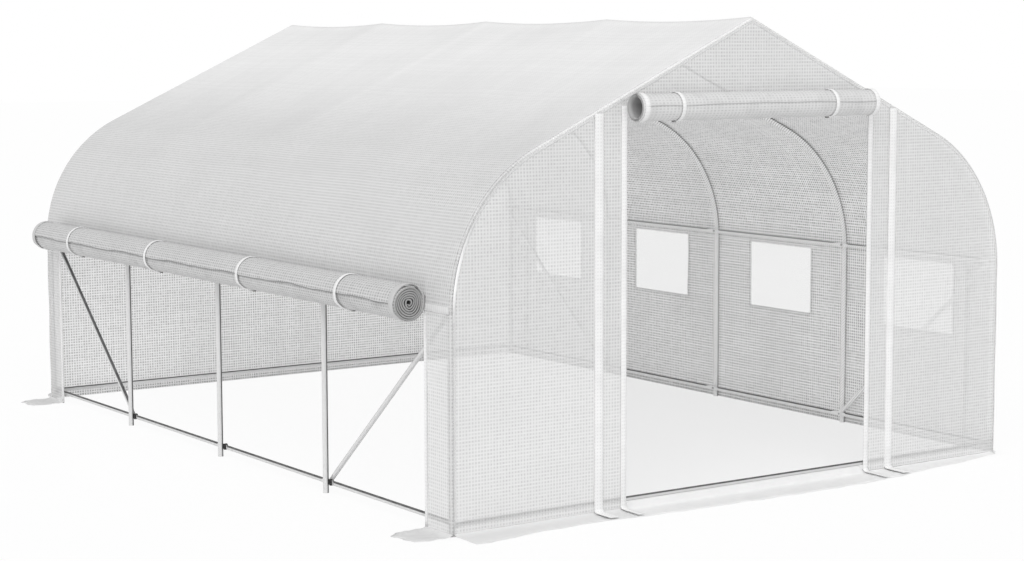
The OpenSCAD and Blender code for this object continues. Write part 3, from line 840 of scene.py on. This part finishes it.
def cordPart(path, radius, sides=8):
    # a thin round cord along a path that runs mostly one way; its ends are drawn together
    along = np.gradient(path, axis=0)
    along /= np.linalg.norm(along, axis=1, keepdims=True)
    side = np.cross(along, (0.0, 0.0, 1.0))
    side /= np.linalg.norm(side, axis=1, keepdims=True)
    over = np.cross(side, along)
    a = np.linspace(0, 2 * np.pi, sides + 1)[:-1][None, :, None]
    size = np.full(len(path), radius)
    size[[0, -1]] = radius * 0.02
    points = path[:, None] + size[:, None, None] * (np.cos(a) * side[:, None] + np.sin(a) * over[:, None])
    uv = stacked(runLength(path)[:, None], np.linspace(0, 1, sides + 1))
    return outward(gridPart(points, uv, loopV=True))


# painted shade: a dark cord along the flap's free edge stands for the shadow where it lifts off the roll
flapY = np.linspace(-rollHalf + 0.002, rollHalf - 0.002, 241)
makePiece("flapShadeCord", [cordPart(flapPoints(flapY, flapEnd(flapY), 0.0006), wallRollSet["cord"])],
          "darkEdge")


def hoopBand(centre, axis, place, radiusOf, width, thick):
    # a closed flat ring: a section with rounded edges carried round the roll at radiusOf(angle)
    full = np.linspace(0, 2 * np.pi, 73)[:, None]
    a = full[:-1]
    section = np.array([(-0.5, 0.15), (-0.46, 0.5), (0.46, 0.5), (0.5, 0.15), (0.5, -0.5), (-0.5, -0.5)])
    radius = radiusOf(a) + thick * section[:, 1]
    side = place + width * section[:, 0]
    p, q = centre[0] + radius * np.cos(a), centre[1] + radius * np.sin(a)
    points = stacked(p, side, q) if axis == "y" else stacked(side, p, q)
    across = np.array([0, 0.04, 0.96, 1.0, 1.0, 0.0, 0.0])
    uv = stacked(across, full * float(np.mean(radiusOf(a))))
    return outward(gridPart(points, uv, loopU=True, loopV=True))


def wallStrapRadius(a):
    # over the flap on the outside, close to the roll on the wall's side
    turn = np.mod(a, 2 * np.pi)
    over = ease((turn - math.radians(40)) / 0.35) * ease((math.radians(225) - turn) / 0.35)
    return wallRollSet["strapRadius"] + wallRollSet["overFlap"] * over


makePiece("leftRollStraps", [
    hoopBand((rollX, rollZ), "y", p, wallStrapRadius, *wallRollSet["strap"])
    for p in wallRollSet["strapPlaces"]], "whiteTape", ("left_roll_straps",))
makePiece("wallRollHems", [
    hoopBand((rollX, rollZ), "y", side * (rollHalf - 0.017), lambda a: wallStrapRadius(a) - 0.0012,
             *wallRollSet["hem"]) for side in (-1, 1)], "rollHem")

# the rolled up door, with radius, width and thickness of its end bands and straps
doorRollSet = {"y": -2.0812, "z": 1.660, "radius": 0.0572, "pitch": 0.0026, "core": 0.045, "left": -0.664,
               "right": 0.632, "thick": 0.0012, "rise": 0.028, "cord": 0.0011, "strapPlaces": (-0.457, 0.383),
               "band": (0.0587, 0.024, 0.0012), "strap": (0.0594, 0.019, 0.0018)}
doorY, doorZ, doorLeft, doorRight = (doorRollSet[k] for k in ("y", "z", "left", "right"))


def doorRollSheet():
    # down from the doorway's top, then a spiral from the outside in
    turns = (doorRollSet["radius"] - doorRollSet["core"]) / doorRollSet["pitch"]
    a = np.linspace(0, turns * 2 * np.pi, int(turns * 48) + 1)[:, None]
    along = doorLeft + (doorRight - doorLeft) * np.linspace(0, 1, 61)[None, :]
    radius = doorRollSet["radius"] - doorRollSet["pitch"] * a / (2 * np.pi)
    slack = ripple(along * 4, 0 * along, 61, 0.0006) - 0.0012 * strapPinch(along, doorRollSet["strapPlaces"])
    radius = radius + slack
    y = doorY + radius * np.cos(a)
    first = np.linspace(doorRollSet["rise"], 0.004, 6)[:, None]
    points = np.concatenate([stacked(along, y[:1], doorZ + first),
                             stacked(along, y, doorZ - radius * np.sin(a))])
    run = runLength(points[:, 30])
    return gridPart(points, stacked(along, run[:, None])), float(run[-1])


doorRollPart, doorRollLength = doorRollSheet()
doorRoll = makePiece("doorRoll", [doorRollPart], "doorRollFilm", ("door_roll",), doorRollSet["thick"])


def doorRing(place, radius, width, thick):
    return hoopBand((doorY, doorZ), "x", place, lambda a: radius + 0 * a, width, thick)


def doorRollEdge():
    # a grey cord, darker than the film, where the rolled door's free edge lies: a slack line along the roll's face
    x = np.linspace(doorLeft + 0.004, doorRight - 0.004, 121)
    turn = math.radians(172) + ripple(x * 2.4, x * 0, 71, 0.10)
    radius = doorRollSet["radius"] + 0.0012
    path = stacked(x, doorY + radius * np.cos(turn), doorZ + radius * np.sin(turn))
    return cordPart(path, doorRollSet["cord"])


makePiece("doorRollBands", [
    doorRing(p, *doorRollSet["band"]) for p in (doorLeft + 0.020, doorRight - 0.014)
], "whiteTape")
makePiece("doorRollEdgeCord", [doorRollEdge()], "softEdge")
makePiece("doorRollStraps", [
    doorRing(p, *doorRollSet["strap"]) for p in doorRollSet["strapPlaces"]
], "whiteTape", ("door_roll_straps",))
print("rolls strapped")


def roundedBlock(centre, size, power=4.0):
    # a super-ellipsoid: sine and cosine raised to a small power give a block with round edges
    def raised(w):
        return np.sign(w) * np.abs(w) ** (2 / power)

    v = np.linspace(-np.pi / 2, np.pi / 2, 9)[:, None]
    u = np.linspace(-np.pi, np.pi, 17)[:-1]
    ring = raised(np.cos(v))
    points = stacked(ring * raised(np.cos(u)), ring * raised(np.sin(u)), raised(np.sin(v)))
    return outward(gridPart(points * np.asarray(size) / 2 + np.asarray(centre), loopV=True))


fittingSet = {"plug": (0.022, 0.012, 0.030), "plugX": -1.4835, "plugY": -0.019, "plugZ": 0.047,
              "wallStrapShade": (0.014, 0.018, 0.006), "doorStrapShade": (0.018, 0.014, 0.005), "strapShadeIn": 0.012,
              "wallDrop": 0.0755, "doorDrop": 0.0612, "boltRadius": 0.007, "boltHeight": 0.006,
              "boltPlaces": ((1.4805, tunnel["baseRail"]), (1.4785, tunnel["sideRail"]))}
hoopPlaces = np.linspace(-tunnel["halfLength"], tunnel["halfLength"], 5)
makePiece("footPlugs", [
    roundedBlock((fittingSet["plugX"], y + fittingSet["plugY"], fittingSet["plugZ"]), fittingSet["plug"])
    for y in hoopPlaces[1:]], "blackPlasticAndShade")
# painted shade: a black block under each strap stands for the strap's far side hanging in shadow below the roll
makePiece("strapShadeBlocks", [
    roundedBlock((rollX + fittingSet["strapShadeIn"], p, rollZ - fittingSet["wallDrop"]),
                 fittingSet["wallStrapShade"]) for p in wallRollSet["strapPlaces"]] + [
    roundedBlock((p, doorY + fittingSet["strapShadeIn"], doorZ - fittingSet["doorDrop"]),
                 fittingSet["doorStrapShade"]) for p in doorRollSet["strapPlaces"]], "blackPlasticAndShade")


def domedBolt(centre, axis):
    # a profile of a washer and a domed head turned round the bolt's axis, which lies across the tunnel
    profile = np.array([(0.02, 1.0), (0.45, 0.94), (0.68, 0.72), (0.74, 0.32), (0.98, 0.30), (1.0, 0.0)])
    a = np.linspace(0, 2 * np.pi, 13)[:-1][None, :, None]
    axis = np.asarray(axis, float)
    side = np.cross(axis, (0, 1, 0))
    ring = np.cos(a) * side + np.sin(a) * np.cross(axis, side)
    reach, rise = profile[:, :1] * fittingSet["boltRadius"], profile[:, 1:] * fittingSet["boltHeight"]
    return outward(gridPart(np.asarray(centre) + ring * reach[..., None] + rise[..., None] * axis, loopV=True))


makePiece("frameBolts", [
    domedBolt((side * x, y, z), (-side, 0, 0))
    for side in (-1, 1) for y in hoopPlaces for x, z in fittingSet["boltPlaces"]], "boltSteel")
print("fittings set")


# the tubes keep the frame's own shapes
for name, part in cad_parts.items():
    if not part.hide_render:
        part.data.materials.clear()
        part.data.materials.append(finishes["steelTube"])
print("tubes finished")


# angles in degrees; the edge of the floor's painted shadow, where painted daylight falls in, is the line x = slant *
# y - shift
studio = {"floorHalf": 60.0, "floorTones": (255, 244), "floorColour": (0.93, 0.93, 0.93, 1.0), "daySlant": 0.623,
          "dayShift": 0.374, "ambient": 0.62, "mirrored": 0.22, "sun": 1.5, "sunFrom": (-0.45, -0.55, 0.70),
          "sunSoft": 60.0, "eye": (-5.94086, -8.92524, 1.91542), "yaw": 34.32729, "pitch": -6.30566,
          "roll": -0.14487, "focalPixels": 2141.26, "photoWidth": 1024, "sensor": 36.0}


def whiteFloor(graph):
    # a white floor with a painted shadow under the tunnel, where some of the real shade is kept too, and plain white
    # further out; the painted shadow ends on a slant line, as if daylight fell in through the open side
    x, y = axes(graph, objectWire(graph))[:2]
    under = (x - y * studio["daySlant"] + studio["dayShift"]).ease(0.0, 0.25)
    under = under * (2.1 - y.size()).ease(0.0, 0.15) * (1.6 - x).ease(0.0, 0.15)
    camera = graph.node("LightPath", out=0)
    cloth = graph.node("BsdfDiffuse", {}, {"Color": studio["floorColour"]})
    # bright is the plain white floor; shaded is the painted shadow under the tunnel
    bright, shaded = (graph.node("Emission", {}, {"Color": grey(k), "Strength": 1.0})
                      for k in studio["floorTones"])
    glow = graph.node("MixShader", {}, {0: under, 1: bright, 2: shaded})
    share = (0.92 - under * 0.17) * camera
    return graph.node("MixShader", {}, {0: share, 1: cloth, 2: glow})


floorMaterial = finishMaterial("studioFloor", whiteFloor)
half = studio["floorHalf"]
floorMesh = bpy.data.meshes.new("studioFloor")
floorMesh.from_pydata([(-half, -half, 0), (half, -half, 0), (half, half, 0), (-half, half, 0)], [], [(0, 1, 2, 3)])
floorMesh.materials.append(floorMaterial)
floor = bpy.data.objects.new("studioFloor", floorMesh)
bpy.context.scene.collection.objects.link(floor)

world = bpy.data.worlds.new("studioSky")
bpy.context.scene.world = world
world.use_nodes = True
sky = Graph(world.node_tree)
seen, mirrored = sky.node("LightPath", out=(0, 3))
ambient, shine, backdrop = (sky.node("Background", {}, {"Color": (1.0, 1.0, 1.0, 1.0), "Strength": k})
                            for k in (studio["ambient"], studio["mirrored"], 1.0))
light = sky.node("MixShader", {}, {0: mirrored, 1: ambient, 2: shine})
sky.node("OutputWorld", {}, {
    "Surface": sky.node("MixShader", {}, {0: seen, 1: light, 2: backdrop})})

sunLamp = bpy.data.lights.new("softSun", "SUN")
sunLamp.energy, sunLamp.angle = studio["sun"], math.radians(studio["sunSoft"])
sun = bpy.data.objects.new("softSun", sunLamp)
toward = np.array(studio["sunFrom"]) / np.linalg.norm(studio["sunFrom"])
sideways = np.cross((0, 0, 1), toward)
sideways /= np.linalg.norm(sideways)
upward = np.cross(toward, sideways)
sun.matrix_world = Matrix([(*row, 0.0) for row in np.stack([sideways, upward, toward], 1)] + [(0, 0, 0, 1)])
bpy.context.scene.collection.objects.link(sun)

yaw, pitch, roll = (math.radians(studio[k]) for k in ("yaw", "pitch", "roll"))
forward = np.array([math.sin(yaw) * math.cos(pitch), math.cos(yaw) * math.cos(pitch), math.sin(pitch)])
right = np.array([math.cos(yaw), -math.sin(yaw), 0.0])
up = np.cross(right, forward)
right, up = math.cos(roll) * right + math.sin(roll) * up, -math.sin(roll) * right + math.cos(roll) * up
lens = bpy.data.cameras.new("photoCamera")
lens.sensor_width, lens.lens = studio["sensor"], studio["focalPixels"] / studio["photoWidth"] * studio["sensor"]
lens.clip_end = 300.0
camera = bpy.data.objects.new("photoCamera", lens)
rows = [(right[k], up[k], -forward[k], studio["eye"][k]) for k in range(3)]
camera.matrix_world = Matrix([tuple(map(float, row)) for row in rows] + [(0, 0, 0, 1)])
bpy.context.scene.collection.objects.link(camera)
bpy.context.scene.camera = camera
bpy.context.scene.view_settings.view_transform = "Standard"
print("studio lit")

bpy.context.view_layer.update()
